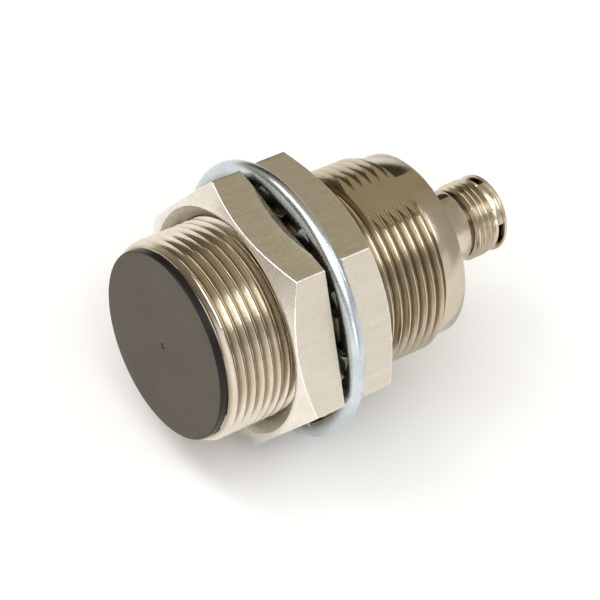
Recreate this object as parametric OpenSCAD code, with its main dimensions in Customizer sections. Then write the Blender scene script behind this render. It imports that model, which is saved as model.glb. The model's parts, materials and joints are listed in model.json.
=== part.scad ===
// Inductive proximity sensor: a threaded metal barrel with a plastic sensing cap, two hexagon nuts,
// a toothed lock washer and a round four-pin plug connector.
// The barrel's axis is X. The sensing face is the plane X = 0 and looks toward -X.
// The milled flat of the barrel faces +Z. All sizes are in millimetres.

/* [Barrel] */
// Outside diameter of the barrel thread
thread_d = 30; // [24:0.5:38]
// Distance between two thread crests
thread_pitch = 1.5; // [1:0.25:2]
// Depth of the thread, crest to root
thread_depth = 0.92; // [0.6:0.02:1.2]
// Wall between the thread root and the bore
barrel_wall = 1.08; // [0.8:0.02:2]
// Length of the threaded part
thread_length = 38.2; // [31:0.1:60]
// Length of the plain ring behind the thread
ring_length = 3.6; // [3:0.1:8]
// How far the plain ring lies below the thread crests
ring_step = 1; // [0.95:0.05:1.3]
// Chamfer at the front edge of the barrel
barrel_chamfer = 0.7; // [0.3:0.1:1]
// Depth of the milled flat below the thread crests
flat_depth = 1.13; // [1.05:0.01:1.4]
// Length of the milled flat, from the rear end of the ring forward
flat_length = 11.9; // [5:0.1:20]

/* [Sensing head] */
// Thickness of the cap's face in front of the barrel
cap_face = 1.1; // [0.8:0.1:2]
// How far the cap's face lies inside the thread crests
cap_inset = 0.9; // [0.8:0.1:1.5]
// Wall of the cap's skirt inside the barrel
cap_wall = 0.8; // [0.5:0.1:1]
// Depth of the cap's skirt behind its face
cap_skirt = 11.4; // [10.5:0.1:14]
// Length of the ferrite pot core
core_length = 7.6; // [6.5:0.1:9]
// Thickness of the core's outer wall
core_wall = 1.8; // [1.2:0.1:2.2]
// Thickness of the core's rear web
core_web = 2; // [1.5:0.1:2.5]
// Diameter of the core's centre post
core_post_d = 9; // [7:0.5:10]
// Diameter of the hole through the centre post
core_hole_d = 3; // [2:0.5:4]
// Thickness of the bobbin's tube and flanges
bobbin_wall = 0.6; // [0.4:0.1:0.8]

/* [Nuts and washer] */
// Metal between the barrel thread and a flat of the nut
nut_wall = 3; // [2.5:0.1:5]
// Thickness of each nut
nut_thickness = 6.6; // [5:0.1:8]
// Distance from the sensing face to the front nut
front_nut_x = 10.3; // [9:0.1:14]
// How far the front nut is turned past the rear nut, in degrees
front_nut_turn = 1.5; // [0:0.5:30]
// Angle of the chamfer on the hexagon's corners, in degrees
nut_chamfer_angle = 30; // [20:1:35]
// How far the nut's face circle lies inside the flats
nut_face_inset = 0.3; // [0.1:0.1:0.5]
// Radial depth of the countersink in both faces of a nut
nut_countersink = 2; // [1:0.1:2.2]
// Space between the barrel's crests and the bore of a nut
nut_clearance = 0.15; // [0.1:0.05:0.3]
// Radial width from the barrel thread to the rim of the washer
washer_reach = 6; // [5.2:0.1:8]
// Radial width of the washer's solid ring
washer_ring_w = 2.7; // [2.4:0.1:3.8]
// Thickness of the washer's solid ring
washer_thickness = 2.05; // [1.2:0.05:2.5]
// Height of the twisted teeth, front to rear
tooth_height = 2.85; // [2.6:0.05:3.2]
// Number of teeth
tooth_count = 12; // [8:1:14]
// Thickness of a tooth
tooth_thickness = 1.3; // [0.8:0.1:1.5]
// Twist of a tooth about its own length, in degrees
tooth_twist = 22; // [15:1:30]
// Angle of the first tooth's middle, in degrees from +Y
tooth_angle = 77; // [0:1:89]
// Gap between neighbouring pieces of the nut and washer stack
stack_gap = 0.08; // [0.05:0.01:0.2]

/* [Connector] */
// Outside diameter of the connector thread
plug_thread_d = 11.8; // [9.8:0.1:14]
// Distance between two crests of the connector thread
plug_pitch = 1; // [0.75:0.25:1.25]
// Depth of the connector thread
plug_thread_depth = 0.6; // [0.4:0.05:0.7]
// Length of the connector thread
plug_thread_length = 3.9; // [3.5:0.1:8]
// Length of the plain neck between the barrel and the relief groove
neck_length = 8.2; // [7.5:0.1:12]
// How far the neck lies below the connector's thread crests
neck_step = 0.3; // [0.2:0.05:0.5]
// Width of the relief groove
groove_width = 0.8; // [0.5:0.1:1.2]
// Depth of the relief groove below the neck
groove_depth = 0.45; // [0.2:0.05:0.5]
// Length of the slotted collar at the free end
collar_length = 1.3; // [1:0.1:2]
// Length of the closed rim beyond the collar
rim_length = 0.7; // [0.5:0.1:1]
// Bevel of the rim's outer edge
rim_bevel = 0.35; // [0.2:0.05:0.5]
// Wall between the connector thread's crests and the plug socket
plug_wall = 1.65; // [1.5:0.05:2]
// Length of each slot in the collar, along the axis
slot_length = 0.95; // [0.5:0.05:1]
// Depth of the latching groove that the slots open into, inside the socket
latch_groove = 0.35; // [0.2:0.05:0.5]
// Angle that each slot spans, in degrees
slot_span = 46; // [20:1:60]
// Number of slots around the collar
slot_count = 3; // [2:1:4]
// Angle of the first slot's middle, in degrees from +Y
slot_angle = 57; // [0:1:119]
// Length of the connector's flange inside the barrel
flange_length = 3.1; // [2.8:0.1:5]
// How far the flange sits inside the ring's rear edge
flange_recess = 0.2; // [0.1:0.1:1]
// Depth of the plug socket, from the rim to the contact insert
socket_depth = 8.8; // [7:0.1:9]
// Diameter of a contact pin's free part
pin_d = 1; // [0.8:0.1:1.1]
// How far a pin's shoulder inside the insert stands out from its free part
pin_shoulder = 0.25; // [0.2:0.05:0.3]
// Diameter of the circle that the contact pins stand on
pin_circle_d = 5; // [4.6:0.1:5.2]
// How far a contact pin stays behind the rim
pin_recess = 1.2; // [0.5:0.1:2]
// Width of the coding key in the socket
key_width = 0.9; // [0.6:0.1:1.2]
// Height of the coding key above the socket's wall
key_height = 0.6; // [0.4:0.1:0.8]
// Diameter of each indicator window in the neck
window_d = 1.2; // [0.8:0.1:1.6]
// Distance from a window's middle to the relief groove
window_setback = 1.2; // [0.9:0.1:2]
// Angle of the first window, in degrees from +Y
window_angle = 72; // [0:1:89]
// Number of indicator windows around the neck
window_count = 2; // [2:1:4]

/* [Electronics] */
// Thickness of the circuit board
board_thickness = 1; // [0.8:0.1:1.6]
// Width of the circuit board
board_width = 19; // [17:0.5:20]
// Gap between the circuit board and the connector's flange
board_gap = 2.6; // [2:0.1:4]
// How deep the board sits in the carrier
board_seat = 2; // [1:0.1:2.5]
// Thickness of the board carrier behind the core
carrier_length = 2.6; // [2.4:0.1:4]
// Thickness of the shielding sleeve around the electronics
shield_thickness = 0.2; // [0.1:0.05:0.3]

/* [Hidden] */
$fn = 96;

nickel = "silver";
brushed_nickel = "darkkhaki";
zinc = "lightsteelblue";
copper = "peru";
black_plastic = "dimgray";

// A cut goes this far past the face it opens.
cut = 1;
// Clearance of a piece pressed or glued into another, on the radius.
press_gap = 0.05;
// Clearance of a piece laid loosely into another.
loose_gap = 0.15;

// Barrel
thread_r = thread_d / 2;
root_r = thread_r - thread_depth;
bore_r = root_r - barrel_wall;
ring_r = thread_r - ring_step;
barrel_front = cap_face;
thread_rear = barrel_front + thread_length;
barrel_rear = thread_rear + ring_length;
crest_land = thread_pitch / 8;
flank = (thread_pitch - 2 * crest_land) / 2;
first_crest = barrel_front + barrel_chamfer;
crest_count = floor((thread_length - barrel_chamfer - crest_land) / thread_pitch);

// Sensing head
cap_r = thread_r - cap_inset;
skirt_r = bore_r - press_gap;
cup_r = skirt_r - cap_wall;
cap_rear = cap_face + cap_skirt;
core_front = cap_face + loose_gap;
core_rear = core_front + core_length;
core_r = cup_r - loose_gap;
post_r = core_post_d / 2;
winding_room_r = core_r - core_wall;
bobbin_front = core_front + loose_gap;
bobbin_rear = core_rear - core_web - loose_gap;
bobbin_tube_r = post_r + loose_gap + bobbin_wall;
bobbin_flange_r = winding_room_r - loose_gap;
winding_r = bobbin_flange_r - loose_gap;
lead_d = 0.6;
lead_fit = 0.05;
lead_y = (bobbin_tube_r + winding_r) / 2;
lead_slot_w = 1;
lead_protrusion = 0.3;
carrier_front = core_rear + press_gap;
carrier_rear = carrier_front + carrier_length;

// Nuts and washer
nut_af_r = thread_r + nut_wall;
nut_corner_r = nut_af_r / cos(30);
nut_bore_r = thread_r + nut_clearance;
washer_r = thread_r + washer_reach;
washer_front_x = front_nut_x + nut_thickness + stack_gap;
washer_rear_x = washer_front_x + tooth_height;
rear_nut_x = washer_rear_x + stack_gap;
washer_ring_inner_r = washer_r - washer_ring_w;
tooth_clearance = 0.5;
tooth_root = 0.4;
tooth_inner_r = nut_bore_r + tooth_clearance;
tooth_length = washer_ring_inner_r + tooth_root - tooth_inner_r;
tooth_width = (tooth_height - tooth_thickness * cos(tooth_twist)) / sin(tooth_twist);
washer_edge = 0.5;

// Connector
plug_r = plug_thread_d / 2;
neck_r = plug_r - neck_step;
groove_r = neck_r - groove_depth;
socket_r = plug_r - plug_wall;
guide_wall = 0.6;
guide_gap = 0.05;
guide_bore_r = socket_r + guide_wall + guide_gap;
flange_rear = barrel_rear - flange_recess;
flange_front = flange_rear - flange_length;
neck_rear = flange_rear + neck_length;
plug_thread_front = neck_rear + groove_width;
plug_thread_rear = plug_thread_front + plug_thread_length;
collar_rear = plug_thread_rear + collar_length;
rim_rear = collar_rear + rim_length;
plug_land = plug_pitch / 8;
plug_flank = (plug_pitch - 2 * plug_land) / 2;
plug_crest_count = floor(plug_thread_length / plug_pitch);
window_x = neck_rear - window_setback;
guide_setback = 0.3;
guide_rear = neck_rear - guide_setback;
socket_floor = rim_rear - socket_depth;
insert_protrusion = 1;
insert_front = flange_front - insert_protrusion;
insert_r = socket_r - guide_gap;
guide_front = flange_front;
pin_protrusion = 1.6;
pin_front = flange_front - pin_protrusion;
pin_rear = rim_rear - pin_recess;
pin_offset = pin_circle_d / 2 * sin(45);
first_pin_angle = 45;
pin_step = 90;
tail_w = 0.6;
tail_thickness = 0.3;
tail_overlap = 1.4;
slot_front = collar_rear - slot_length;
o_ring_d = 1.5;
o_ring_x = (flange_front + flange_rear) / 2;
o_ring_r = bore_r - press_gap - o_ring_d / 2;
o_ring_groove_w = o_ring_d + 0.3;

// Electronics
board_front = carrier_rear - board_seat;
board_rear = flange_front - board_gap;
board_half = board_thickness / 2;
lead_z = board_half + lead_d / 2;
parts_front = carrier_rear + 1;
shield_r = skirt_r;
shield_front = cap_rear + press_gap;
shield_rear = flange_front - press_gap;
resin_r = shield_r - shield_thickness - press_gap;
resin_front = cap_rear + press_gap;
resin_gap = 1.2;
resin_rear = flange_front - resin_gap;
chip_l = 2;
chip_w = 1.25;
chip_h = 0.6;
chip_step = 2.2;
chip_gap = 0.8;
resistor_h = 0.45;
ic_size = [9.9, 3.9, 1.5];
ic_pitch = 1.27;
ic_leg_count = 8;
ic_leg_reach = 1.05;
transistor_size = [3.5, 6.5, 1.6];
transistor_tab = [1.6, 3, 0.3];
transistor_leg = [1.6, 0.7, 0.3];
transistor_leg_step = 2.3;
diode_size = [4.4, 3.6, 2.3];
diode_end = [0.5, 2, 1.1];
capacitor_size = [7.3, 4.3, 2.8];
led_size = [1.2, 2, 0.8];
led_y = 4.2;
ic_at = [parts_front, -4.6, board_half];
transistor_room = board_rear - tail_overlap - parts_front - ic_size[0];
transistor_length = transistor_tab[0] + transistor_size[0] + transistor_leg[0];
transistor_x = parts_front + ic_size[0] + (transistor_room - transistor_length) / 2 + transistor_tab[0];
transistor_at = [transistor_x, -7.6, board_half];
diode_at = [parts_front, -8.6, -board_half - diode_size[2]];
capacitor_at = [parts_front, 3.6, -board_half - capacitor_size[2]];
chip_capacitors_at = [parts_front, 4.4, board_half];
chip_resistors_at = [parts_front + 5.4, -8.2, -board_half - resistor_h];

// Turns a child that stands on Z so that it lies along +X, starting at x.
module along_x(x) {
    translate([x, 0, 0])
        rotate([0, 90, 0])
            children();
}

// A solid disc or shaft on the axis from x0 to x1.
module disc(x0, x1, r) {
    along_x(x0)
        cylinder(h = x1 - x0, r = r);
}

// A tube on the axis from x0 to x1.
module tube(x0, x1, r_out, r_in) {
    difference() {
        disc(x0, x1, r_out);
        disc(x0 - cut, x1 + cut, r_in);
    }
}

// A cone on the axis: radius r0 at x0 and r1 at x1.
module cone(x0, x1, r0, r1) {
    along_x(x0)
        cylinder(h = x1 - x0, r1 = r0, r2 = r1);
}

// Radius and X of one thread crest: up the front flank, along the land and down the rear flank.
function crest(x, rr, rc, land, slope) =
    [[rr, x - slope], [rc, x], [rc, x + land], [rr, x + land + slope]];

// The outline of a row of crests.
function crests(x, count, pitch, rr, rc, land, slope) =
    [for (i = [0 : count - 1], p = crest(x + i * pitch, rr, rc, land, slope)) p];

module barrel_outline() {
    front_ring = [[0, barrel_front], [thread_r - barrel_chamfer, barrel_front]];
    first_land = [[thread_r, first_crest], [thread_r, first_crest + crest_land]];
    first_root = [[root_r, first_crest + crest_land + flank]];
    row = crests(first_crest + thread_pitch, crest_count - 1, thread_pitch,
                 root_r, thread_r, crest_land, flank);
    rear_ring = [[root_r, thread_rear], [ring_r, thread_rear], [ring_r, barrel_rear], [0, barrel_rear]];
    polygon(concat(front_ring, first_land, first_root, row, rear_ring));
}

// The barrel: thread crests as closed rings, a plain rear ring, the bore and the milled flat.
module barrel() {
    color(nickel)
        difference() {
            along_x(0)
                rotate_extrude()
                    barrel_outline();
            disc(barrel_front - cut, barrel_rear + cut, bore_r);
            translate([barrel_rear - flat_length, -thread_r, thread_r - flat_depth])
                cube([flat_length + cut, thread_d, flat_depth + cut]);
        }
}

// The cap: a face disc on the barrel's front edge and a skirt inside the bore.
module sensing_cap() {
    color(black_plastic)
        union() {
            disc(0, cap_face, cap_r);
            tube(cap_face, cap_rear, skirt_r, cup_r);
        }
}

// The pot core: open to the front, with two slots in its web for the coil's leads.
module ferrite_core() {
    color("darkslategray")
        difference() {
            disc(core_front, core_rear, core_r);
            difference() {
                disc(core_front - cut, core_rear - core_web, winding_room_r);
                disc(core_front - 2 * cut, core_rear, post_r);
            }
            disc(core_front - cut, core_rear + cut, core_hole_d / 2);
            for (side = [-1, 1])
                translate([core_rear - core_web - cut, side * lead_y - lead_slot_w / 2,
                           side * lead_z - lead_slot_w / 2])
                    cube([core_web + 2 * cut, lead_slot_w, lead_slot_w]);
        }
}

// The bobbin: a tube on the core's post with a flange at each end.
module coil_bobbin() {
    color("ivory")
        difference() {
            union() {
                tube(bobbin_front, bobbin_rear, bobbin_tube_r, post_r + loose_gap);
                tube(bobbin_front, bobbin_front + bobbin_wall, bobbin_flange_r, post_r + loose_gap);
                tube(bobbin_rear - bobbin_wall, bobbin_rear, bobbin_flange_r, post_r + loose_gap);
            }
            for (side = [-1, 1])
                translate([bobbin_rear - 2 * bobbin_wall, side * lead_y, side * lead_z])
                    rotate([0, 90, 0])
                        cylinder(h = 4 * bobbin_wall, d = lead_d + 2 * lead_fit, $fn = 24);
        }
}

// The winding that fills the bobbin between its flanges.
module coil_winding() {
    color(copper)
        tube(bobbin_front + bobbin_wall + press_gap, bobbin_rear - bobbin_wall - press_gap,
             winding_r, bobbin_tube_r + press_gap);
}

// Two straight leads from the winding through the core and the carrier to the board.
module coil_leads() {
    lead_front = bobbin_rear - bobbin_wall - press_gap;
    lead_rear = carrier_rear + lead_protrusion;
    color(copper)
        for (side = [-1, 1])
            translate([lead_front, side * lead_y, side * lead_z])
                rotate([0, 90, 0])
                    cylinder(h = lead_rear - lead_front, d = lead_d, $fn = 24);
}

// The carrier: a disc behind the core with a pocket for the board and two holes for the leads.
module board_carrier() {
    color("gainsboro")
        difference() {
            disc(carrier_front, carrier_rear, core_r);
            translate([board_front - press_gap, -board_width / 2 - press_gap, -board_half - press_gap])
                cube([board_seat + cut, board_width + 2 * press_gap, board_thickness + 2 * press_gap]);
            for (side = [-1, 1])
                translate([carrier_front - cut, side * lead_y, side * lead_z])
                    rotate([0, 90, 0])
                        cylinder(h = carrier_length + 2 * cut, d = lead_d + 2 * lead_fit, $fn = 24);
        }
}

// The shielding sleeve between the barrel and the resin.
module shield_sleeve() {
    color("goldenrod")
        tube(shield_front, shield_rear, shield_r, shield_r - shield_thickness);
}

// The board: it lies in the XY plane and reaches from the carrier to the connector.
module circuit_board() {
    color("darkgreen")
        translate([board_front, -board_width / 2, -board_half])
            cube([board_rear - board_front, board_width, board_thickness]);
}

module control_ic() {
    leg = [0.4, ic_leg_reach, 0.25];
    standoff = 0.1;
    first_leg_x = (ic_size[0] - (ic_leg_count - 1) * ic_pitch - leg[0]) / 2;
    color("black")
        translate(ic_at) {
            translate([0, 0, standoff])
                cube([ic_size[0], ic_size[1], ic_size[2] - standoff]);
            for (i = [0 : ic_leg_count - 1], y = [-ic_leg_reach, ic_size[1]])
                translate([first_leg_x + i * ic_pitch, y, 0])
                    cube(leg);
        }
}

module output_transistor() {
    color("black")
        translate(transistor_at) {
            cube(transistor_size);
            translate([-transistor_tab[0], (transistor_size[1] - transistor_tab[1]) / 2, 0])
                cube(transistor_tab);
            for (i = [-1, 0, 1])
                translate([transistor_size[0],
                           (transistor_size[1] - transistor_leg[1]) / 2 + i * transistor_leg_step, 0])
                    cube(transistor_leg);
        }
}

module surge_diode() {
    color("black")
        translate(diode_at) {
            cube(diode_size);
            for (x = [-diode_end[0], diode_size[0]])
                translate([x, (diode_size[1] - diode_end[1]) / 2, diode_size[2] - diode_end[2]])
                    cube(diode_end);
        }
}

module smoothing_capacitor() {
    color("orange")
        translate(capacitor_at)
            cube(capacitor_size);
}

// A row of small chips, count along X, beginning at the corner at.
module chip_row(at, count, size) {
    for (i = [0 : count - 1])
        translate([at[0] + i * chip_step, at[1], at[2]])
            cube(size);
}

module chip_capacitors() {
    second_row = [0, chip_l + chip_gap / 2, 0];
    color("tan") {
        chip_row(chip_capacitors_at, 4, [chip_w, chip_l, chip_h]);
        chip_row(chip_capacitors_at + second_row, 3, [chip_w, chip_w, chip_h]);
    }
}

module chip_resistors() {
    second_row = [0, chip_l + chip_gap, 0];
    size = [chip_w, chip_l, resistor_h];
    color("black") {
        chip_row(chip_resistors_at, 4, size);
        chip_row(chip_resistors_at + second_row, 4, size);
    }
}

// Four light-emitting diodes at the board's rear edge, two above and two below.
module indicator_leds() {
    color("gold")
        for (y = [-led_y, led_y], top = [0, 1])
            translate([board_rear - led_size[0], y - led_size[1] / 2,
                       top == 1 ? board_half : -board_half - led_size[2]])
                cube(led_size);
}

// Contact pin number i, counted around the connector's axis.
module contact_pin(i) {
    tip = 0.25;
    angle = first_pin_angle + pin_step * (i - 1);
    color("gold")
        rotate([angle, 0, 0])
            translate([0, pin_circle_d / 2, 0]) {
                disc(pin_front, socket_floor, pin_d / 2 + pin_shoulder);
                disc(socket_floor, pin_rear - tip, pin_d / 2);
                cone(pin_rear - tip, pin_rear, pin_d / 2, pin_d / 2 - tip);
            }
}

// Four flat tails that join the pins to the board.
module pin_tails() {
    reach = pin_front - board_rear + tail_overlap;
    color("gold")
        for (y = [-pin_offset, pin_offset], side = [-1, 1]) {
            foot_z = side > 0 ? board_half : -board_half - tail_thickness;
            riser_h = pin_offset + pin_d / 2 - board_half;
            translate([board_rear - tail_overlap, y - tail_w / 2, foot_z])
                cube([reach - tail_thickness, tail_w, tail_thickness]);
            translate([pin_front - tail_thickness, y - tail_w / 2,
                       side > 0 ? board_half : -board_half - riser_h])
                cube([tail_thickness, tail_w, riser_h]);
        }
}

// The insert that holds the contact pins.
module contact_insert() {
    color(black_plastic)
        difference() {
            disc(insert_front, socket_floor, insert_r);
            for (i = [0 : 3])
                rotate([first_pin_angle + pin_step * i, 0, 0])
                    translate([0, pin_circle_d / 2, 0])
                        disc(insert_front - cut, socket_floor + cut, pin_d / 2 + pin_shoulder);
        }
}

// The light guide: a clear tube around the insert with a stud in each window of the neck.
module light_guide() {
    stud_d = window_d - 2 * guide_gap;
    stud_length = neck_r - socket_r - guide_wall / 2 - 2 * guide_gap;
    color("khaki")
        difference() {
            union() {
                disc(guide_front, guide_rear, guide_bore_r - guide_gap);
                for (i = [0 : window_count - 1])
                    rotate([window_angle + i * 360 / window_count, 0, 0])
                        translate([window_x, socket_r + guide_wall / 2, 0])
                            rotate([-90, 0, 0])
                                cylinder(h = stud_length, d = stud_d, $fn = 32);
            }
            disc(guide_front - cut, guide_rear + cut, socket_r);
        }
}

module shell_outline() {
    flange_r = bore_r - press_gap;
    body = [[0, flange_front], [flange_r, flange_front], [flange_r, flange_rear], [neck_r, flange_rear],
            [neck_r, neck_rear], [groove_r, neck_rear], [groove_r, plug_thread_front]];
    row = crests(plug_thread_front + plug_flank, plug_crest_count, plug_pitch,
                 plug_r - plug_thread_depth, plug_r, plug_land, plug_flank);
    end = [[neck_r, plug_thread_rear], [neck_r, collar_rear], [plug_r, collar_rear],
           [plug_r, rim_rear - rim_bevel], [plug_r - rim_bevel, rim_rear], [0, rim_rear]];
    polygon(concat(body, row, end));
}

// One slot of the collar: a sector that spans slot_span degrees.
module collar_slot(angle) {
    along_x(slot_front)
        rotate([0, 0, 90 + angle - slot_span / 2])
            rotate_extrude(angle = slot_span)
                translate([socket_r - cut, 0])
                    square([neck_r - socket_r + 2 * cut, slot_length]);
}

// The connector shell: flange, neck, thread, slotted collar and rim, with the socket bored through.
module connector_shell() {
    color(nickel) {
        difference() {
            along_x(0)
                rotate_extrude()
                    shell_outline();
            disc(flange_front - cut, rim_rear + cut, socket_r);
            disc(flange_front - cut, guide_rear + guide_gap, guide_bore_r);
            tube(o_ring_x - o_ring_groove_w / 2, o_ring_x + o_ring_groove_w / 2,
                 bore_r + cut, o_ring_r - o_ring_d / 2);
            for (i = [0 : window_count - 1])
                rotate([window_angle + i * 360 / window_count, 0, 0])
                    translate([window_x, socket_r, 0])
                        rotate([-90, 0, 0])
                            cylinder(h = plug_r, d = window_d, $fn = 32);
            tube(slot_front, collar_rear, socket_r + latch_groove, socket_r - cut);
            for (i = [0 : slot_count - 1])
                collar_slot(slot_angle + i * 360 / slot_count);
        }
        translate([guide_rear + guide_gap, -key_width / 2, socket_r - key_height])
            cube([slot_front - guide_rear - guide_gap, key_width, key_height + 0.2]);
    }
}

// The seal between the connector's flange and the barrel.
module rear_o_ring() {
    color("black")
        along_x(o_ring_x)
            rotate_extrude()
                translate([o_ring_r, 0])
                    circle(d = o_ring_d, $fn = 32);
}

// A box from corner at to at + size, with the resin's clearance all round.
module clear_box(at, size) {
    translate(at - [press_gap, press_gap, press_gap])
        cube(size + [2 * press_gap, 2 * press_gap, 2 * press_gap]);
}

// Space that the board and everything on it takes out of the resin.
module board_space() {
    pin_reach = pin_offset + pin_d / 2 + pin_shoulder;
    clear_box([carrier_rear - cut, -board_width / 2, -board_half],
              [board_rear - carrier_rear + cut, board_width, board_thickness]);
    clear_box(ic_at - [0, ic_leg_reach, 0], ic_size + [0, 2 * ic_leg_reach, 0]);
    clear_box(transistor_at - [transistor_tab[0], 0, 0],
              transistor_size + [transistor_tab[0] + transistor_leg[0], 0, 0]);
    clear_box(diode_at - [diode_end[0], 0, 0], diode_size + [2 * diode_end[0], 0, 0]);
    clear_box(capacitor_at, capacitor_size);
    clear_box(chip_capacitors_at, [3 * chip_step + chip_w, 2 * chip_l, chip_h]);
    clear_box(chip_resistors_at, [3 * chip_step + chip_w, 2 * chip_l + chip_gap, resistor_h]);
    clear_box([board_rear - led_size[0], -led_y - led_size[1] / 2, -board_half - led_size[2]],
              [led_size[0], 2 * led_y + led_size[1], board_thickness + 2 * led_size[2]]);
    clear_box([carrier_rear - cut, -lead_y - lead_d / 2, -lead_z - lead_d / 2],
              [cut + lead_protrusion + loose_gap, 2 * lead_y + lead_d, 2 * lead_z + lead_d]);
    clear_box([board_rear - tail_overlap, -pin_offset - tail_w / 2, -pin_reach],
              [resin_rear - board_rear + tail_overlap, 2 * pin_offset + tail_w, 2 * pin_reach]);
}

// The resin that fills the barrel around the board.
module potting_resin() {
    color("saddlebrown")
        difference() {
            disc(resin_front, resin_rear, resin_r);
            disc(carrier_front, carrier_rear + press_gap, core_r + press_gap);
            board_space();
            disc(pin_front - press_gap, resin_rear + cut, insert_r + press_gap);
        }
}

// A nut on the axis from x, with its chamfered face toward -X when facing is -1 and toward +X when it is 1.
module nut(x, facing, turn) {
    chamfer_len = (nut_corner_r - nut_af_r + nut_face_inset) * tan(nut_chamfer_angle);
    face_r = nut_af_r - nut_face_inset;
    far_r = nut_corner_r;
    translate([x + nut_thickness / 2, 0, 0])
        mirror([facing > 0 ? 1 : 0, 0, 0])
            translate([-nut_thickness / 2, 0, 0])
                difference() {
                    intersection() {
                        rotate([turn, 0, 0])
                            along_x(0)
                                rotate([0, 0, 30])
                                    cylinder(h = nut_thickness, r = nut_corner_r, $fn = 6);
                        union() {
                            cone(0, chamfer_len, face_r, far_r);
                            disc(chamfer_len, nut_thickness, far_r);
                        }
                    }
                    disc(-cut, nut_thickness + cut, nut_bore_r);
                    cone(-press_gap, nut_countersink, nut_bore_r + nut_countersink + press_gap, nut_bore_r);
                    cone(nut_thickness - nut_countersink, nut_thickness + press_gap,
                         nut_bore_r, nut_bore_r + nut_countersink + press_gap);
                }
}

module front_nut() {
    color(brushed_nickel)
        nut(front_nut_x, -1, front_nut_turn);
}

module rear_nut() {
    color(brushed_nickel)
        nut(rear_nut_x, 1, 0);
}

// The lock washer: a solid outer ring with twisted teeth that point inward.
module lock_washer() {
    tooth_x = (washer_front_x + washer_rear_x) / 2;
    ring_front = washer_rear_x - washer_thickness;
    color(zinc)
        union() {
            difference() {
                union() {
                    cone(ring_front, ring_front + washer_edge, washer_r - washer_edge, washer_r);
                    disc(ring_front + washer_edge, washer_rear_x - washer_edge, washer_r);
                    cone(washer_rear_x - washer_edge, washer_rear_x, washer_r, washer_r - washer_edge);
                }
                disc(ring_front - cut, washer_rear_x + cut, washer_ring_inner_r);
            }
            for (i = [0 : tooth_count - 1])
                rotate([i * 360 / tooth_count + tooth_angle, 0, 0])
                    translate([tooth_x, tooth_inner_r + tooth_length / 2, 0])
                        rotate([0, tooth_twist, 0])
                            cube([tooth_thickness, tooth_length, tooth_width], center = true);
        }
}

barrel();
sensing_cap();
ferrite_core();
coil_bobbin();
coil_winding();
coil_leads();
board_carrier();
shield_sleeve();
circuit_board();
control_ic();
output_transistor();
surge_diode();
smoothing_capacitor();
chip_capacitors();
chip_resistors();
indicator_leds();
pin_tails();
contact_pin(1);  // contact_pin_1
contact_pin(2);  // contact_pin_2
contact_pin(3);  // contact_pin_3
contact_pin(4);  // contact_pin_4
contact_insert();
light_guide();
connector_shell();
rear_o_ring();
potting_resin();
front_nut();
rear_nut();
lock_washer();
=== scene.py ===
"""Looks of a threaded proximity sensor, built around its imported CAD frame.

Lengths are in millimetres and become metres when a mesh is made. The barrel's axis is X.
An angle is measured about +X, from +Y toward +Z.
"""

import json
import math

import bmesh
import bpy
from mathutils import Matrix, Vector


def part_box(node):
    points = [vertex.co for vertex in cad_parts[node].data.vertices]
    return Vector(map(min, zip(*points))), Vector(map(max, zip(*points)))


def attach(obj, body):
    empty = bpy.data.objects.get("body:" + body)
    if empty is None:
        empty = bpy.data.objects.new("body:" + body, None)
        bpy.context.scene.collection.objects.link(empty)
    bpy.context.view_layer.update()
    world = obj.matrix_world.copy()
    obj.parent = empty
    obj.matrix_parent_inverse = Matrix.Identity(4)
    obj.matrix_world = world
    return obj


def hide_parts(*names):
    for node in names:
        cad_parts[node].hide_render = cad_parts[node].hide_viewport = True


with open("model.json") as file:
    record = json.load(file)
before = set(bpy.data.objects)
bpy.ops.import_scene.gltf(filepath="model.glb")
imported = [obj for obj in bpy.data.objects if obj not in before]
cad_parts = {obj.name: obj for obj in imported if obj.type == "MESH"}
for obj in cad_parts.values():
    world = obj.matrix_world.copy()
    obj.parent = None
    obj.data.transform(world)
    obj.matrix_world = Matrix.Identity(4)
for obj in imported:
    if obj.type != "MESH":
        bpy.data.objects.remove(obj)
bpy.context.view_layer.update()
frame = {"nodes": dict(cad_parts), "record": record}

MM = 0.001
TURN = 2 * math.pi

# Steps around the axis, by how fine each turned piece has to be. The nuts' corners need the most.
STEPS = 240
CAP_STEPS = 192
SHELL_STEPS = 144
NUT_STEPS = 720


def span(node):
    """A CAD node's front and rear X, in millimetres."""
    low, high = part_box(node)
    return low.x / MM, high.x / MM


# Sizes that come from the CAD nodes' own corners.
BARREL_FRONT, BARREL_REAR = span("barrel")
BARREL_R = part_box("barrel")[1].y / MM
CAP_REAR = span("sensing_cap")[1]
CAP_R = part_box("sensing_cap")[1].y / MM
WASHER_FRONT, WASHER_REAR = span("lock_washer")
WASHER_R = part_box("lock_washer")[1].z / MM
SHELL_FRONT, SHELL_REAR = span("connector_shell")
# The shell's rim ends a micron short, so that rounding can't carry it out of the CAD box.
SHELL_REAR -= 0.001
NUT_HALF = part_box("rear_nut")[1].z / MM
REAR_NUT_MIDDLE = sum(span("rear_nut")) / 2

# Sizes of the barrel, as in the CAD source.
PITCH = 1.5
THREAD_DEPTH = 0.92
ROOT_R = BARREL_R - THREAD_DEPTH
BORE_R = 13.0
RING_STEP = 1.0
RING_R = BARREL_R - RING_STEP
RING_LENGTH = 3.6
THREAD_REAR = BARREL_REAR - RING_LENGTH
FLAT_LENGTH = 11.9
FLAT_FRONT = BARREL_REAR - FLAT_LENGTH
FLAT_DEPTH = 1.13
FLAT_Z = BARREL_R - FLAT_DEPTH

# Sizes of the connector shell, as in the CAD source.
FLANGE_LENGTH = 3.1
NECK_LENGTH = 8.2
NECK_R = 5.6
RIM_LENGTH = 0.7
SLOT_LENGTH = 0.95
SOCKET_R = 4.25

# Outer radius of the moulding mark in the middle of the cap's face.
MARK_R = 0.52

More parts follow.
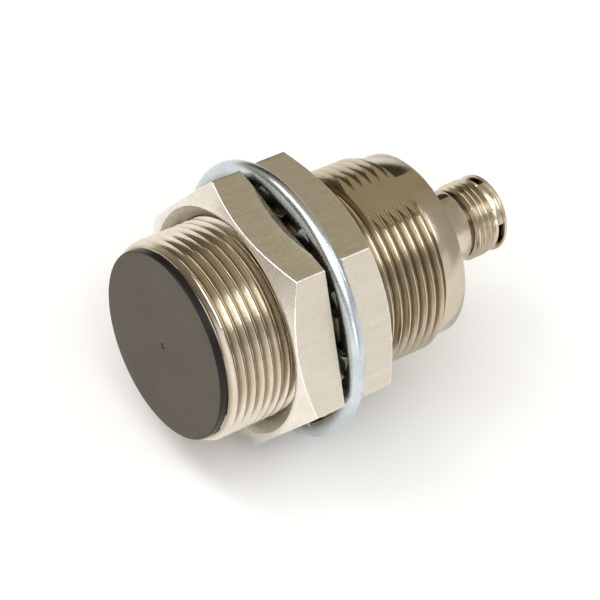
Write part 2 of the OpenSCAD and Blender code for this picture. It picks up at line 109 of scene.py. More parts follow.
# One pitch of a rolled thread: place along the pitch, height between the root and the crest.
THREAD_FORM = (
    (0.0, 0.93), (0.02, 1.0), (0.145, 1.0), (0.165, 0.93), (0.24, 0.74), (0.33, 0.51), (0.41, 0.29),
    (0.49, 0.08), (0.55, 0.0), (0.62, 0.0), (0.68, 0.08), (0.76, 0.29), (0.84, 0.51), (0.92, 0.74),
)
CREST_MIDDLE = 0.0825
FIRST_CREST = 0.25
THREAD_START = BARREL_FRONT + FIRST_CREST - PITCH * CREST_MIDDLE


# ---------------------------------------------------------------- mesh tools

def around(x, r, angle):
    """The point at X x and radius r, turned by angle about the axis."""
    return (x, r * math.cos(angle), r * math.sin(angle))


def quarter(count):
    """The angles of a quarter turn, from 0, in count equal steps."""
    return [math.pi / 2 * i / count for i in range(count + 1)]


def set_sharp_edges(bm, limit):
    """Makes open edges and edges that turn by more than limit degrees sharp, and all others smooth."""
    for edge in bm.edges:
        edge.smooth = len(edge.link_faces) == 2 and edge.calc_face_angle(0) < math.radians(limit)


def new_piece(name, bm, material, smooth_angle=40):
    """Makes an object from a bmesh in millimetres, smooth except at edges sharper than smooth_angle."""
    merge_distance = 0.002
    sliver_width = 0.0005
    bmesh.ops.remove_doubles(bm, verts=bm.verts, dist=merge_distance)
    bmesh.ops.dissolve_degenerate(bm, edges=bm.edges, dist=sliver_width)
    bmesh.ops.recalc_face_normals(bm, faces=bm.faces)
    bmesh.ops.scale(bm, vec=(MM, MM, MM), verts=bm.verts)
    for face in bm.faces:
        face.smooth = True
    set_sharp_edges(bm, smooth_angle)
    mesh = bpy.data.meshes.new(name)
    bm.to_mesh(mesh)
    bm.free()
    piece = bpy.data.objects.new(name, mesh)
    bpy.context.scene.collection.objects.link(piece)
    mesh.materials.append(material)
    return piece


def join_columns(bm, columns):
    """Joins neighbouring columns of points into a skin. Every column is closed on itself."""
    rows = [[bm.verts.new(point) for point in column] for column in columns]
    count = len(rows[0])
    for here, there in zip(rows, rows[1:]):
        for j in range(count):
            k = (j + 1) % count
            bm.faces.new((here[j], there[j], there[k], here[k]))
    return rows


def add_solid(bm, columns):
    """Adds the skin over the columns, with a flat end on the first and on the last."""
    rows = join_columns(bm, columns)
    bm.faces.new(rows[0])
    bm.faces.new(list(reversed(rows[-1])))


def add_lathe(bm, outline, steps=STEPS):
    """Turns outline about the axis. It is a function of the angle that returns points (x, r)."""
    columns = []
    for i in range(steps + 1):
        angle = TURN * i / steps
        columns.append([around(x, r, angle) for x, r in outline(angle)])
    join_columns(bm, columns)


def thread_points(angle, start, x0, x1, pitch, root, crest):
    """Outline (x, r) of a right-hand thread at one angle, cut off at x0 and x1."""
    first = start + pitch * math.ceil((x0 - start) / pitch)
    lead = first + pitch * angle / TURN
    points = []
    for k in range(-2, math.ceil((x1 - x0) / pitch) + 2):
        for along, height in THREAD_FORM:
            points.append((lead + (k + along) * pitch, root + height * (crest - root)))
    result = []
    for i, (x, r) in enumerate(points):
        if x < x0:
            inside = next(p for p in range(i, len(points)) if points[p][0] >= x0)
            result.append((x0, radius_at(points[inside - 1], points[inside], x0)))
        elif x > x1:
            inside = next(p for p in range(i, -1, -1) if points[p][0] <= x1)
            result.append((x1, radius_at(points[inside], points[inside + 1], x1)))
        else:
            result.append((x, r))
    return result


def radius_at(a, b, x):
    """The radius at x on the line from point a to point b."""
    share = (x - a[0]) / (b[0] - a[0])
    return a[1] + share * (b[1] - a[1])


def sharpen_borders(piece):
    """Makes the edges between faces of different materials sharp."""
    bm = bmesh.new()
    bm.from_mesh(piece.data)
    for edge in bm.edges:
        if len({face.material_index for face in edge.link_faces}) > 1:
            edge.smooth = False
    bm.to_mesh(piece.data)
    bm.free()


def cut_away(piece, cutter):
    """Takes the cutter's volume out of the piece and removes the cutter."""
    sharp_angle = 50
    modifier = piece.modifiers.new("cut", "BOOLEAN")
    modifier.operation = "DIFFERENCE"
    modifier.solver = "EXACT"
    modifier.object = cutter
    depsgraph = bpy.context.evaluated_depsgraph_get()
    result = bpy.data.meshes.new_from_object(piece.evaluated_get(depsgraph))
    piece.modifiers.clear()
    old = piece.data
    piece.data = result
    bpy.data.meshes.remove(old)
    bpy.data.objects.remove(cutter)
    bm = bmesh.new()
    bm.from_mesh(result)
    set_sharp_edges(bm, sharp_angle)
    bm.to_mesh(result)
    bm.free()


def box_points(low, high):
    """The eight corners of a box."""
    return [(x, y, z) for x in (low[0], high[0]) for y in (low[1], high[1]) for z in (low[2], high[2])]


def add_hull(bm, points):
    """Adds the convex solid around the points."""
    verts = [bm.verts.new(p) for p in points]
    bmesh.ops.convex_hull(bm, input=verts)


# ---------------------------------------------------------------- shader tools

def start_material(name, metallic, roughness):
    """A material with its node tree and its main shader."""
    made = bpy.data.materials.new(name)
    made.use_nodes = True
    tree = made.node_tree
    shader = tree.nodes["Principled BSDF"]
    shader.inputs["Metallic"].default_value = metallic
    shader.inputs["Roughness"].default_value = roughness
    return made, tree, shader


def link(tree, a, b):
    """Joins an output socket to an input socket."""
    tree.links.new(a, b)


def object_space(tree):
    """The place on the object, in metres."""
    return tree.nodes.new("ShaderNodeTexCoord").outputs["Object"]


def turned_space(tree, vector):
    """The vector (x, radius about the axis, 0), on which a texture gives rings, and that radius."""
    parts = tree.nodes.new("ShaderNodeSeparateXYZ")
    link(tree, vector, parts.inputs[0])
    flat = tree.nodes.new("ShaderNodeCombineXYZ")
    link(tree, parts.outputs["Y"], flat.inputs["Y"])
    link(tree, parts.outputs["Z"], flat.inputs["Z"])
    length = tree.nodes.new("ShaderNodeVectorMath")
    length.operation = "LENGTH"
    link(tree, flat.outputs[0], length.inputs[0])
    rings = tree.nodes.new("ShaderNodeCombineXYZ")
    link(tree, parts.outputs["X"], rings.inputs["X"])
    link(tree, length.outputs["Value"], rings.inputs["Y"])
    return rings.outputs[0], length.outputs["Value"]


def noise(tree, vector, scale, detail=3.0, rough=0.55):
    """A noise texture on a vector that is scaled along each axis."""
    mapped = tree.nodes.new("ShaderNodeMapping")
    mapped.inputs["Scale"].default_value = scale
    link(tree, vector, mapped.inputs["Vector"])
    made = tree.nodes.new("ShaderNodeTexNoise")
    made.inputs["Scale"].default_value = 1.0
    made.inputs["Detail"].default_value = detail
    made.inputs["Roughness"].default_value = rough
    link(tree, mapped.outputs["Vector"], made.inputs["Vector"])
    return made.outputs["Fac"]


def spread(tree, value, low, high, new_low, new_high):
    """Maps a value from one range to another and keeps it inside."""
    made = tree.nodes.new("ShaderNodeMapRange")
    made.inputs["From Min"].default_value = low
    made.inputs["From Max"].default_value = high
    made.inputs["To Min"].default_value = new_low
    made.inputs["To Max"].default_value = new_high
    link(tree, value, made.inputs["Value"])
    return made.outputs["Result"]


def mix_colors(tree, share, a, b):
    """A colour between a and b. Each is a colour value or a socket."""
    made = tree.nodes.new("ShaderNodeMix")
    made.data_type = "RGBA"
    factor, first, second = made.inputs[0], made.inputs[6], made.inputs[7]
    link(tree, share, factor)
    for socket, value in ((first, a), (second, b)):
        if isinstance(value, bpy.types.NodeSocket):
            link(tree, value, socket)
        else:
            socket.default_value = (*value, 1.0)
    return made.outputs[2]


def combine(tree, operation, a, b):
    """Two values added or multiplied."""
    made = tree.nodes.new("ShaderNodeMath")
    made.operation = operation
    link(tree, a, made.inputs[0])
    link(tree, b, made.inputs[1])
    return made.outputs[0]


def reach_along(tree, vector, direction):
    """How far a vector reaches along a direction."""
    made = tree.nodes.new("ShaderNodeVectorMath")
    made.operation = "DOT_PRODUCT"
    link(tree, vector, made.inputs[0])
    made.inputs[1].default_value = direction
    return made.outputs["Value"]


def bump(tree, shader, height, distance):
    """Relief on the shader's surface. The distance is in metres."""
    made = tree.nodes.new("ShaderNodeBump")
    made.inputs["Distance"].default_value = distance
    made.inputs["Strength"].default_value = 1.0
    link(tree, height, made.inputs["Height"])
    link(tree, made.outputs["Normal"], shader.inputs["Normal"])


# ---------------------------------------------------------------- materials

def turned_metal(name, light, dark, roughness, trough_r=None, crest_r=None, trough_shade=None):
    """Plated metal that was turned on a lathe: fine rings and soft stains.
    With radii given, the colour darkens from the crest radius down to the trough radius: painted shade in
    the hollows."""
    made, tree, shader = start_material(name, 1.0, roughness)
    space = object_space(tree)
    rings, radius = turned_space(tree, space)
    fine = noise(tree, rings, (9000, 9000, 1), 2.0)
    stains = noise(tree, space, (210, 210, 210), 4.0, 0.6)
    grain = noise(tree, space, (2600, 5200, 5200), 2.0, 0.7)
    color = mix_colors(tree, spread(tree, stains, 0.35, 0.7, 0, 1), light, dark)
    # Painted shade: below the crest radius the colour goes toward the darker trough colour, as if the
    # hollows lay in shadow.
    if trough_shade is not None:
        depth = spread(tree, radius, trough_r * MM, crest_r * MM, 1, 0)
        color = mix_colors(tree, depth, color, trough_shade)
    link(tree, color, shader.inputs["Base Color"])
    rough = spread(tree, grain, 0.3, 0.75, roughness * 0.75, roughness * 1.35)
    link(tree, rough, shader.inputs["Roughness"])
    bump(tree, shader, combine(tree, "ADD", fine, grain), 0.000008)
    return made


def brushed_metal(name, light, dark, roughness):
    """Plated metal with straight brush lines along the axis and a few specks."""
    made, tree, shader = start_material(name, 1.0, roughness)
    space = object_space(tree)
    lines = noise(tree, space, (330, 4000, 4000), 3.0, 0.7)
    streaks = noise(tree, space, (60, 1100, 1100), 3.0, 0.6)
    specks = noise(tree, space, (5500, 5500, 5500), 2.0, 0.6)
    line_tone = spread(tree, lines, 0.25, 0.75, 0.45, 1.0)
    streak_tone = spread(tree, streaks, 0.3, 0.7, 0.6, 1.0)
    color = mix_colors(tree, combine(tree, "MULTIPLY", line_tone, streak_tone), dark, light)
    link(tree, color, shader.inputs["Base Color"])
    line_rough = spread(tree, lines, 0.3, 0.7, roughness * 0.8, roughness * 1.25)
    speck_polish = spread(tree, specks, 0.62, 0.72, 1.0, 0.55)
    link(tree, combine(tree, "MULTIPLY", line_rough, speck_polish), shader.inputs["Roughness"])
    speck_height = spread(tree, specks, 0.66, 0.80, 0, 4.0)
    bump(tree, shader, combine(tree, "ADD", lines, speck_height), 0.00002)
    return made


def plastic(name, light, dark, roughness, specular=0.5):
    """Moulded plastic: fine grain and a slight change of shade."""
    made, tree, shader = start_material(name, 0.0, roughness)
    shader.inputs["Specular IOR Level"].default_value = specular
    space = object_space(tree)
    grain = noise(tree, space, (3500, 3500, 3500), 2.0)
    shade = noise(tree, space, (150, 150, 150), 3.0)
    color = mix_colors(tree, spread(tree, shade, 0.35, 0.65, 0, 1), light, dark)
    link(tree, color, shader.inputs["Base Color"])
    rough = spread(tree, grain, 0.3, 0.7, roughness * 0.85, roughness * 1.15)
    link(tree, rough, shader.inputs["Roughness"])
    bump(tree, shader, grain, 0.000006)
    return made


# The barrel's trough colour is painted shade in the thread roots.
barrel_metal = turned_metal("nickel_barrel_look", (0.74, 0.68, 0.58), (0.63, 0.56, 0.46), 0.17,
                            trough_r=14.05, crest_r=14.65, trough_shade=(0.30, 0.24, 0.155))
# Painted shade: the thread behind the rear nut is darker all over, with darker roots, for the shade near
# the nut.
rear_thread_painted_shade_metal = turned_metal("nickel_rear_thread_painted_shade_look", (0.62, 0.55, 0.44), (0.52, 0.45, 0.34), 0.19,
                                 trough_r=14.1, crest_r=14.85, trough_shade=(0.21, 0.16, 0.095))
ring_metal = turned_metal("nickel_ring_look", (0.60, 0.53, 0.42), (0.53, 0.46, 0.35), 0.19)
flat_metal = turned_metal("milled_flat_look", (0.60, 0.52, 0.38), (0.53, 0.45, 0.32), 0.3)
nut_flats = brushed_metal("nickel_nut_flats", (0.76, 0.70, 0.60), (0.62, 0.56, 0.45), 0.34)
nut_faces = turned_metal("nickel_nut_faces", (0.80, 0.75, 0.68), (0.71, 0.66, 0.58), 0.3)
# The edge strips' bright colour is partly worn polish and partly a painted highlight.
nut_worn_edges_and_highlight = turned_metal("nickel_nut_worn_edges_and_highlight", (0.95, 0.93, 0.90), (0.90, 0.88, 0.84), 0.16)
# The washer's trough colour darkens the ring's inner flat and the teeth: painted shade in the gap under the
# nut.
zinc_metal = turned_metal("zinc_look", (0.62, 0.67, 0.72), (0.47, 0.52, 0.54), 0.25,
                          trough_r=18.7, crest_r=19.7, trough_shade=(0.26, 0.275, 0.24))
# The connector's trough colour is painted shade in the relief groove and the thread roots.
shell_metal = turned_metal("nickel_connector_look", (0.68, 0.61, 0.50), (0.56, 0.49, 0.38), 0.18,
                           trough_r=5.16, crest_r=5.42, trough_shade=(0.14, 0.10, 0.06))
cap_look = plastic("cap_look", (0.070, 0.056, 0.038), (0.060, 0.048, 0.033), 0.6)
# Near-black plastic for the cap's rim and side; the moulding mark's groove takes it too, as painted shade.
cap_side_and_mark_shade = plastic("cap_side_and_mark_shade_look", (0.010, 0.008, 0.007), (0.007, 0.006, 0.005), 0.35, specular=0.25)


# ---------------------------------------------------------------- pieces

def barrel_outline(angle):
    """The barrel's section at one angle: front edge, thread, rear ring, then back through the bore."""
    front_chamfer = 0.7
    rear_slope = 1.2
    edge = 0.15
    outer = []
    for x, r in thread_points(angle, THREAD_START, BARREL_FRONT, THREAD_REAR, PITCH, ROOT_R, BARREL_R):
        front_cone = BARREL_R - front_chamfer + (x - BARREL_FRONT)
        rear_cone = RING_R + rear_slope * (THREAD_REAR - x)
        outer.append((x, min(r, front_cone, rear_cone)))
    ring = [(THREAD_REAR + 0.01, RING_R), (BARREL_REAR - edge, RING_R), (BARREL_REAR, RING_R - edge)]
    bore = [(BARREL_REAR, BORE_R + edge), (BARREL_REAR - edge, BORE_R), (BARREL_FRONT, BORE_R)]
    return outer + ring + bore


def make_barrel():
    """The barrel with its helical thread and milled flat."""
    bm = bmesh.new()
    add_lathe(bm, barrel_outline)
    piece = new_piece("barrel_body", bm, barrel_metal, 50)
    cutter_bm = bmesh.new()
    beyond = 5
    outside = 20
    cutter_low = (FLAT_FRONT, -outside, FLAT_Z)
    cutter_high = (BARREL_REAR + beyond, outside, outside)
    add_hull(cutter_bm, box_points(cutter_low, cutter_high))
    cut_away(piece, new_piece("flat_cutter", cutter_bm, flat_metal))
    piece.data.materials.clear()
    for material in (barrel_metal, flat_metal, ring_metal, rear_thread_painted_shade_metal):
        piece.data.materials.append(material)
    near_flat = 1e-5
    for face in piece.data.polygons:
        on_flat = face.normal.z > 0.999 and abs(face.center.z - FLAT_Z * MM) < near_flat
        if on_flat and face.center.x > FLAT_FRONT * MM:
            face.material_index = 1
        elif face.center.x > THREAD_REAR * MM:
            face.material_index = 2
        # Painted shade: faces behind the rear nut's middle take the darker rear thread material.
        elif face.center.x > REAR_NUT_MIDDLE * MM:
            face.material_index = 3
        else:
            face.material_index = 0
    sharpen_borders(piece)
    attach(piece, "sensor_body")
    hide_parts("barrel")


def cap_outline(angle):
    """The cap's section: face with the moulding mark at its middle, rounded edge, skirt and inside.
    The mark is a fine groove that runs round the middle and is open on one side."""
    mark_gap_angle = 2.4
    in_gap = math.cos(angle - mark_gap_angle) > 0.75
    depth = 0.0 if in_gap else 0.1
    face = [(0.0, 0.0), (0.0, 0.20), (depth * 0.7, 0.26), (depth, 0.36), (depth * 0.7, 0.46), (0.0, MARK_R)]
    face += [(0.0, r) for r in (1.0, 3.0, 6.0, 9.0, 12.0)]
    radius = 0.22
    edge = []
    for turn in quarter(6):
        edge.append((radius - radius * math.cos(turn), CAP_R - radius + radius * math.sin(turn)))
    face_rear = 1.1
    skirt_r = 12.95
    inside_r = 12.15
    skirt = [(face_rear - 0.02, CAP_R), (face_rear, CAP_R - 0.02), (face_rear, skirt_r)]
    inside = [(CAP_REAR, skirt_r), (CAP_REAR, inside_r), (face_rear, inside_r), (face_rear, 0.0)]
    return face + edge + skirt + inside


def make_cap():
    """The plastic sensing cap."""
    bm = bmesh.new()
    add_lathe(bm, cap_outline, CAP_STEPS)
    piece = new_piece("cap_body", bm, cap_look, 35)
    piece.data.materials.append(cap_side_and_mark_shade)
    for face in piece.data.polygons:
        radius = math.hypot(face.center.y, face.center.z) / MM
        # The mark's faces take the near-black side material: painted shade in the groove.
        on_mark = radius < MARK_R + 0.03 and face.center.x > 0.01 * MM
        if radius > CAP_R - 0.2 or on_mark:
            face.material_index = 1
    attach(piece, "sensor_body")
    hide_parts("sensing_cap")


def hexagon_radius(angle):
    """Distance from the axis to a hexagon with rounded corners, whose corners lie at 0, 60 ... degrees."""
    corner_round = 0.25
    half_side = TURN / 12
    off_corner = abs((angle + half_side) % (TURN / 6) - half_side)
    centre = (NUT_HALF - corner_round) / math.cos(half_side)
    tangent = math.atan2(corner_round / 2, centre + corner_round * math.cos(half_side))
    if off_corner < tangent:
        side = centre * math.sin(off_corner)
        return centre * math.cos(off_corner) + math.sqrt(max(corner_round ** 2 - side ** 2, 0))
    return NUT_HALF / math.cos(half_side - off_corner)


def nut_outline(x0, x1, facing, turn, worn):
    """Returns the section of a nut from x0 to x1, as a function of the angle.
    The chamfer looks along facing. A worn nut has a shallow bevel on the rear edge of its top flat."""
    thickness = x1 - x0
    face_r = NUT_HALF - 0.3
    sink_r = BARREL_R + 0.15 + 2.0
    thread_clearance = 0.1
    slope = math.tan(math.radians(30))
    edge = 0.09
    wear_depth, wear_half_width, wear_drop = 1.05, 7.0, 0.28
    half_side = TURN / 12

    def outline(angle):
        corner = hexagon_radius(angle - turn)
        bevel = (corner - face_r) * slope
        outer = [(0.0, sink_r + 0.05), (0.0, face_r - 0.05), (0.04, face_r + 0.03)]
        on_cone = (bevel - edge * 0.5, corner - edge * 0.87)
        middle = (bevel + edge * 0.12, corner - edge * 0.2)
        on_side = (bevel + edge, corner)
        outer += [on_cone, middle, on_side]
        across = NUT_HALF * math.tan(abs((angle - turn) % (TURN / 6) - half_side))
        on_top = worn and abs(angle - turn - TURN / 4) < half_side
        wear = wear_depth * max(0.0, 1 - (across / wear_half_width) ** 2) if on_top else 0.0
        back = thickness - edge - wear
        outer += [((on_side[0] + back) / 2, corner), (back, corner)]
        outer.append((thickness - 0.02, corner - edge - wear_drop * wear))
        outer.append((thickness, corner - edge * 1.3 - wear_drop * wear))
        outer.append((thickness, sink_r + 0.05))
        if facing > 0:
            outer = [(thickness - x, r) for x, r in reversed(outer)]
        inner = []
        for x, r in thread_points(angle, THREAD_START, x0, x1, PITCH, ROOT_R, BARREL_R):
            depth = min(x - x0, x1 - x)
            inner.append((x - x0, max(r + thread_clearance, ROOT_R + 0.2, sink_r - depth)))
        section = outer + list(reversed(inner))
        return [(x0 + x, r) for x, r in section]

    return outline


def make_nut(name, facing, turn, worn, body):
    """A hexagon nut with brushed flats, turned faces and worn edges, whose bright colour is partly a
    painted highlight.
    """
    x0, x1 = span(name)
    bm = bmesh.new()
    add_lathe(bm, nut_outline(x0, x1, facing, turn, worn), NUT_STEPS)
    piece = new_piece(name + "_body", bm, nut_flats, 40)
    piece.data.materials.append(nut_faces)
    piece.data.materials.append(nut_worn_edges_and_highlight)
    for face in piece.data.polygons:
        centre = face.center
        radius = math.hypot(centre.y, centre.z)
        outward = (face.normal.y * centre.y + face.normal.z * centre.z) / radius
        chamfer_edge = 0.12 < face.normal.x * facing < 0.82
        # The chamfer edge strips take the bright edge material: partly wear, partly a painted highlight.
        if outward > 0.5 and chamfer_edge:
            face.material_index = 2
        elif abs(face.normal.x) > 0.1 or outward < 0.5:
            face.material_index = 1
    sharpen_borders(piece)
    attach(piece, body)
    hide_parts(name)


def add_tooth(bm, angle):
    """One twisted tooth, from inside the washer's ring to its tip."""
    tip_r, root_r = 15.65, 18.75
    middle_x = (WASHER_FRONT + WASHER_REAR) / 2
    half_thickness, half_width, round_r = 0.65, 2.19, 0.3
    twist = math.radians(22)
    tip_size = 0.94
    steps = 8
    columns = []
    for i in range(steps + 1):
        share = i / steps
        r = root_r + (tip_r - root_r) * share
        lean = twist * min(1.0, 0.35 + share * 1.6)
        size = tip_size if i == steps else 1.0
        section = []
        for side_x, side_t, first in ((1, 1, 0), (-1, 1, 1), (-1, -1, 2), (1, -1, 3)):
            for step in range(4):
                turn = math.pi / 2 * (first + step / 3)
                px = (side_x * (half_thickness - round_r) + round_r * math.cos(turn)) * size
                pt = (side_t * (half_width - round_r) + round_r * math.sin(turn)) * size
                x = middle_x + px * math.cos(lean) + pt * math.sin(lean)
                aside = -px * math.sin(lean) + pt * math.cos(lean)
                x = min(max(x, WASHER_FRONT), WASHER_REAR)
                y = r * math.cos(angle) - aside * math.sin(angle)
                z = r * math.sin(angle) + aside * math.cos(angle)
                section.append((x, y, z))
        columns.append(section)
    add_solid(bm, columns)


def washer_outline(angle):
    """The washer's ring: flat faces with a well rounded rim and a slightly rounded inner edge."""
    thickness = 2.05
    inner = 18.3
    rear = WASHER_REAR
    front = rear - thickness
    front_round, rear_round, small = 1.3, 0.7, 0.2
    points = []
    for turn in quarter(8):
        x = front + front_round * (1 - math.cos(turn))
        points.append((x, WASHER_R - front_round * (1 - math.sin(turn))))
    for turn in quarter(8):
        x = rear - rear_round * (1 - math.sin(turn))
        points.append((x, WASHER_R - rear_round * (1 - math.cos(turn))))
    points += [(rear, inner + small), (rear - small * 0.3, inner + small * 0.3), (rear - small, inner)]
    points += [(front + small, inner), (front + small * 0.3, inner + small * 0.3), (front, inner + small)]
    return points


def make_washer():
    """The lock washer: a ring with twelve twisted teeth inside."""
    tooth_count = 12
    first_tooth = 77
    bm = bmesh.new()
    add_lathe(bm, washer_outline)
    for i in range(tooth_count):
        add_tooth(bm, math.radians(first_tooth + 360 / tooth_count * i))
    piece = new_piece("lock_washer_body", bm, zinc_metal, 35)
    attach(piece, "washer")
    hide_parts("lock_washer")


def shell_outline(angle):
    """The connector shell's section: flange with the seal's groove, neck, relief groove, thread,
    collar and rim, then back through the socket."""
    flange_r, groove_r, crest_r = 12.95, 5.15, 5.9
    latch_r, guide_r = 4.6, 4.9
    thread_pitch, thread_depth = 1.0, 0.6
    flange_rear = SHELL_FRONT + FLANGE_LENGTH
    neck_rear = flange_rear + NECK_LENGTH
    thread_front = neck_rear + 0.8
    thread_rear = thread_front + 3.9
    collar_rear = thread_rear + 1.3
    latch_front = collar_rear - SLOT_LENGTH
    seal, seal_half, seal_floor_r = SHELL_FRONT + FLANGE_LENGTH / 2, 0.9, 11.45
    points = [(SHELL_FRONT, guide_r), (SHELL_FRONT, flange_r)]
    points += [(seal - seal_half, flange_r), (seal - seal_half, seal_floor_r)]
    points += [(seal + seal_half, seal_floor_r), (seal + seal_half, flange_r)]
    points += [(flange_rear - 0.1, flange_r), (flange_rear, flange_r - 0.1), (flange_rear, NECK_R + 0.25)]
    points += [(flange_rear + 0.07, NECK_R + 0.07), (flange_rear + 0.25, NECK_R)]
    points += [(neck_rear - 0.12, NECK_R), (neck_rear, NECK_R - 0.12), (neck_rear, groove_r)]
    points += [(thread_front, groove_r)]
    for x, r in thread_points(angle, thread_front, thread_front, thread_rear, thread_pitch,
                              crest_r - thread_depth, crest_r):
        start_cone = groove_r + 0.1 + 1.3 * (x - thread_front)
        end_cone = NECK_R - 0.3 + 1.2 * (thread_rear - x)
        points.append((x, min(r, start_cone, end_cone)))
    points += [(thread_rear, NECK_R - 0.3), (thread_rear + 0.3, NECK_R), (collar_rear, NECK_R)]
    points += [(collar_rear, crest_r - 0.06), (collar_rear + 0.06, crest_r), (SHELL_REAR - 0.35, crest_r)]
    points += [(SHELL_REAR - 0.25, crest_r - 0.05), (SHELL_REAR - 0.05, crest_r - 0.3)]
    points += [(SHELL_REAR, crest_r - 0.4), (SHELL_REAR, SOCKET_R + 0.12), (SHELL_REAR - 0.12, SOCKET_R)]
    points += [(collar_rear, SOCKET_R), (collar_rear, latch_r)]
    points += [(latch_front, latch_r), (latch_front, SOCKET_R)]
    points += [(neck_rear - 0.25, SOCKET_R), (neck_rear - 0.25, guide_r)]
    return points


def add_cylinder(bm, angle, x, r0, r1, radius):
    """A short cylinder that points away from the axis at the angle given, from radius r0 to r1."""
    steps = 32
    columns = []
    outward = Vector((0, math.cos(angle), math.sin(angle)))
    sideways = Vector((0, -math.sin(angle), math.cos(angle)))
    for r in (r0, r1):
        section = []
        for i in range(steps):
            turn = TURN * i / steps
            point = Vector((x + radius * math.cos(turn), 0, 0))
            point += outward * r + sideways * radius * math.sin(turn)
            section.append(tuple(point))
        columns.append(section)
    add_solid(bm, columns)


def add_sector(bm, middle, half_span, x0, x1, r0, r1):
    """A piece of a tube about the axis."""
    steps = 16
    columns = []
    for i in range(steps + 1):
        angle = middle - half_span + 2 * half_span * i / steps
        columns.append([around(x, r, angle) for x, r in ((x0, r0), (x0, r1), (x1, r1), (x1, r0))])
    add_solid(bm, columns)


def make_shell():
    """The connector shell with its collar slots, indicator windows and alignment mark, and its key."""
    bm = bmesh.new()
    add_lathe(bm, shell_outline, SHELL_STEPS)
    piece = new_piece("connector_body", bm, shell_metal, 50)
    collar_rear = SHELL_REAR - RIM_LENGTH
    latch_front = collar_rear - SLOT_LENGTH
    outside = 7.0
    cutter_bm = bmesh.new()
    slot_half = math.radians(23)
    for i in range(3):
        middle = math.radians(57 + 120 * i)
        add_sector(cutter_bm, middle, slot_half, latch_front, collar_rear - 0.01, 4.4, outside)
    window_x = SHELL_FRONT + FLANGE_LENGTH + NECK_LENGTH - 1.2
    for i in range(2):
        add_cylinder(cutter_bm, math.radians(72 + 180 * i), window_x, 4.5, outside, 0.6)
    mark_middle, mark_half = math.radians(127), math.radians(1.4)
    add_sector(cutter_bm, mark_middle, mark_half, collar_rear - 0.25, collar_rear + 0.15, 5.45, outside)
    cut_away(piece, new_piece("shell_cutter", cutter_bm, shell_metal))
    key_bm = bmesh.new()
    key_front = SHELL_FRONT + 11.1
    key = box_points((key_front, -0.45, 3.7), (latch_front, 0.45, 4.4))
    rounding = box_points((key_front, -0.35, 3.65), (latch_front - 0.05, 0.35, 4.4))
    add_hull(key_bm, key + rounding)
    key_piece = new_piece("connector_key", key_bm, shell_metal, 30)
    for made in (piece, key_piece):
        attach(made, "sensor_body")
        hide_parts("connector_shell")


make_barrel()
make_cap()
make_nut("front_nut", -1, math.radians(1.5), True, "front_nut_body")
make_nut("rear_nut", 1, 0.0, False, "rear_nut_body")
make_washer()
make_shell()


# ---------------------------------------------------------------- the CAD nodes that stay

inner_looks = {
    "ferrite": plastic("ferrite_look", (0.09, 0.09, 0.10), (0.05, 0.05, 0.055), 0.7),
    "bobbin_plastic": plastic("bobbin_look", (0.80, 0.78, 0.72), (0.72, 0.70, 0.64), 0.5),
    "copper_wire": turned_metal("copper_look", (0.72, 0.36, 0.18), (0.52, 0.24, 0.10), 0.3),
    "carrier_plastic": plastic("carrier_look", (0.70, 0.70, 0.68), (0.60, 0.60, 0.58), 0.5),
    "shield_foil": turned_metal("shield_look", (0.78, 0.55, 0.32), (0.60, 0.42, 0.24), 0.35),
    "board": plastic("board_look", (0.04, 0.22, 0.10), (0.03, 0.16, 0.08), 0.35),
    "chip_black": plastic("chip_look", (0.04, 0.04, 0.045), (0.025, 0.025, 0.03), 0.5),
    "capacitor_case": plastic("capacitor_look", (0.80, 0.55, 0.10), (0.70, 0.45, 0.08), 0.45),
    "chip_ceramic": plastic("ceramic_look", (0.50, 0.38, 0.25), (0.42, 0.31, 0.20), 0.5),
    "led_lens": plastic("lens_look", (0.90, 0.78, 0.40), (0.80, 0.66, 0.30), 0.2),
    "gold_contact": turned_metal("gold_look", (0.86, 0.66, 0.30), (0.72, 0.52, 0.20), 0.2),
    "insert_plastic": plastic("insert_look", (0.05, 0.05, 0.05), (0.035, 0.035, 0.035), 0.5),
    "amber_guide": plastic("guide_look", (0.04, 0.024, 0.01), (0.025, 0.015, 0.007), 0.25),
    "seal_rubber": plastic("seal_look", (0.03, 0.03, 0.03), (0.02, 0.02, 0.02), 0.6),
    "resin": plastic("resin_look", (0.24, 0.14, 0.07), (0.16, 0.09, 0.04), 0.25),
}
replaced = {"barrel", "sensing_cap", "front_nut", "rear_nut", "lock_washer", "connector_shell"}
for part in frame["record"]["subparts"]:
    if part["node"] in replaced:
        continue
    for place in frame["nodes"][part["node"]].material_slots:
        place.material = inner_looks[part["material_slot"]]


# ---------------------------------------------------------------- stage

def make_camera():
    """A long lens that looks down on the sensor from the front left, with the axis rising to the right."""
    azimuth, elevation, roll = math.radians(-134.72), math.radians(46.83), math.radians(12.87)
    aim = Vector((22.61, -1.57, -0.40)) * MM
    distance = 0.4
    data = bpy.data.cameras.new("camera")
    data.lens = 167.56
    data.sensor_width = 36.0
    data.clip_start = 0.01
    data.clip_end = 10.0
    cam = bpy.data.objects.new("camera", data)
    bpy.context.scene.collection.objects.link(cam)
    flat = math.cos(elevation)
    back = Vector((flat * math.cos(azimuth), flat * math.sin(azimuth), math.sin(elevation)))
    level = Vector((0, 0, 1)).cross(back).normalized()
    right = level * math.cos(roll) + back.cross(level) * math.sin(roll)
    turn = Matrix((right, back.cross(right), back)).transposed().to_4x4()
    cam.matrix_world = Matrix.Translation(aim + back * distance) @ turn
    bpy.context.scene.camera = cam


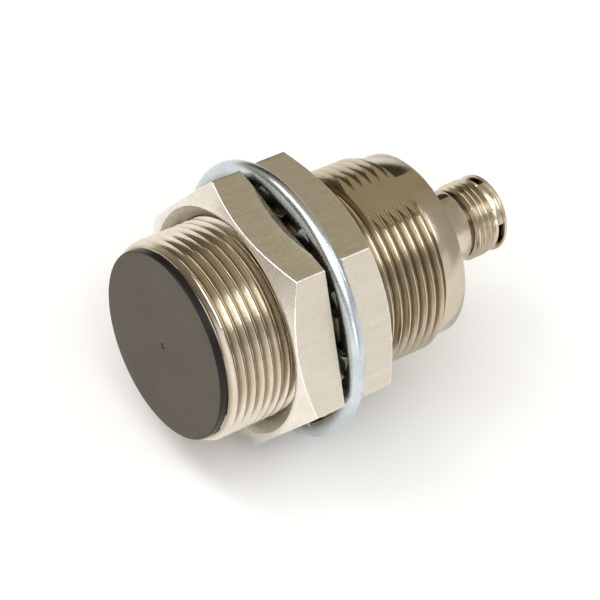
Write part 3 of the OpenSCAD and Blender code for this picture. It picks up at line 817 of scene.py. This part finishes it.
def make_floor():
    """A wide pale floor just under the washer, which is the lowest piece."""
    half = 1.5
    gap = 0.0001
    z = -WASHER_R * MM - gap
    bm = bmesh.new()
    corners = [bm.verts.new((x * half, y * half, z)) for x, y in ((-1, -1), (1, -1), (1, 1), (-1, 1))]
    bm.faces.new(corners)
    mesh = bpy.data.meshes.new("floor")
    bm.to_mesh(mesh)
    bm.free()
    floor = bpy.data.objects.new("floor", mesh)
    bpy.context.scene.collection.objects.link(floor)
    made, tree, shader = start_material("floor_look", 0.0, 1.0)
    shade = noise(tree, object_space(tree), (4, 4, 4), 2.0)
    color = mix_colors(tree, shade, (0.93, 0.93, 0.93), (0.95, 0.95, 0.95))
    link(tree, color, shader.inputs["Base Color"])
    shader.inputs["Specular IOR Level"].default_value = 0.0
    mesh.materials.append(made)


def soft_light(name, direction, distance, width, height, radiance, color=(1, 1, 1), upright=(0, 0, 1)):
    """A soft box that looks at the sensor's middle from the direction given, in metres.
    Its height runs along the last vector."""
    middle = Vector((0.025, 0, 0))
    data = bpy.data.lights.new(name, "AREA")
    data.shape = "RECTANGLE"
    data.size = width
    data.size_y = height
    data.energy = radiance * math.pi * width * height
    data.color = color
    lamp = bpy.data.objects.new(name, data)
    bpy.context.scene.collection.objects.link(lamp)
    away = Vector(direction).normalized()
    sideways = Vector(upright).cross(away).normalized()
    turn = Matrix((sideways, away.cross(sideways), away)).transposed().to_4x4()
    lamp.matrix_world = Matrix.Translation(middle + away * distance) @ turn


def make_world():
    """A room seen as a soft gradient: warm grey above and behind, brighter toward the front,
    with two darker corners."""
    world = bpy.data.worlds.new("studio")
    bpy.context.scene.world = world
    world.use_nodes = True
    tree = world.node_tree
    background = tree.nodes["Background"]
    direction = tree.nodes.new("ShaderNodeTexCoord").outputs["Generated"]
    share = spread(tree, reach_along(tree, direction, (0.30, 0.85, 0.43)), -0.5, 0.85, 0, 1)
    color = mix_colors(tree, share, (0.62, 0.61, 0.62), (0.44, 0.39, 0.285))
    corners = (((0.48, 0.85, 0.22), 0.87, 0.95, (0.05, 0.04, 0.03)),
               ((-0.93, 0.32, 0.20), 0.65, 0.90, (0.20, 0.17, 0.13)))
    for middle, low, high, shade in corners:
        in_corner = spread(tree, reach_along(tree, direction, middle), low, high, 0, 1)
        color = mix_colors(tree, in_corner, color, shade)
    link(tree, color, background.inputs["Color"])
    background.inputs["Strength"].default_value = 1.0


make_camera()
make_floor()
make_world()
soft_light("side_box", (0.48, -0.87, 0.12), 0.7, 0.5, 0.35, 0.42, (0.94, 0.96, 1.0))
soft_light("back_box", (0.48, -0.40, 0.78), 0.7, 0.11, 0.34, 4.6, (0.88, 0.95, 1.0), (0, -0.86, -0.51))
soft_light("edge_box", (-0.40, 0.47, 0.77), 0.8, 0.24, 0.60, 4.5, (0.97, 0.98, 1.0), (-0.15, -0.5, 0.25))
soft_light("low_box", (-0.44, -0.89, 0.14), 0.8, 0.3, 0.15, 3.0)
soft_light("front_box", (-0.42, -0.30, 0.86), 0.9, 1.1, 1.1, 1.8, (0.98, 0.99, 1.0))
bpy.context.scene.view_settings.view_transform = "Standard"
